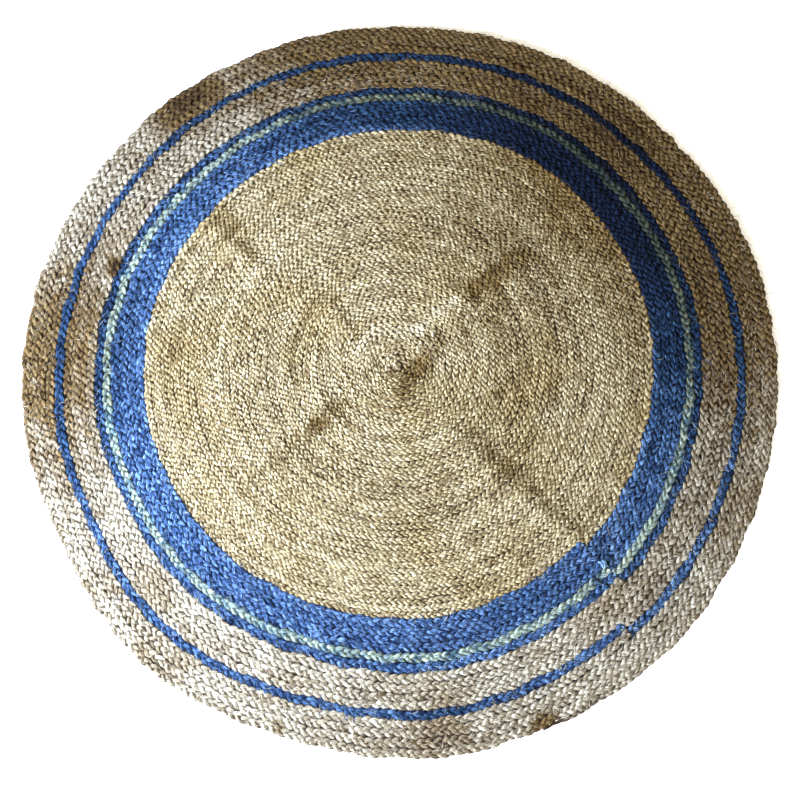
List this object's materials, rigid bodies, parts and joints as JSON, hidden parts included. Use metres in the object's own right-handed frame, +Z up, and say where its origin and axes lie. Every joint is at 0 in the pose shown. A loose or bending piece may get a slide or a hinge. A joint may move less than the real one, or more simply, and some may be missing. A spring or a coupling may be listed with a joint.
{
  "type": "round area rug",
  "caption": "Round flat rug of coiled, sewn jute braid: a natural middle field, blue rings and natural border bands.",
  "frame": {"origin": "middle of the rug's underside, at the centre of its bounding box, on the floor", "axes": "+Z up through the rug's thickness, out of its walking face; the colour splices lie along the direction between +X and -Y"},
  "size_m": [1.1982, 1.1916, 0.008],
  "materials": {
    "natural_jute": "matte",
    "weathered_jute": "matte",
    "blue_jute": "matte",
    "pale_jute": "matte"
  },
  "bodies": {
    "root": {"braid_start": "natural_jute", "natural_centre_field": "natural_jute", "wide_blue_band": "blue_jute", "pale_stripe": "pale_jute", "narrow_blue_stripe": "blue_jute", "middle_natural_band": "weathered_jute", "thin_blue_ring": "blue_jute", "outer_natural_band": "weathered_jute", "braid_tail": "weathered_jute"}
  },
  "joints": []
}
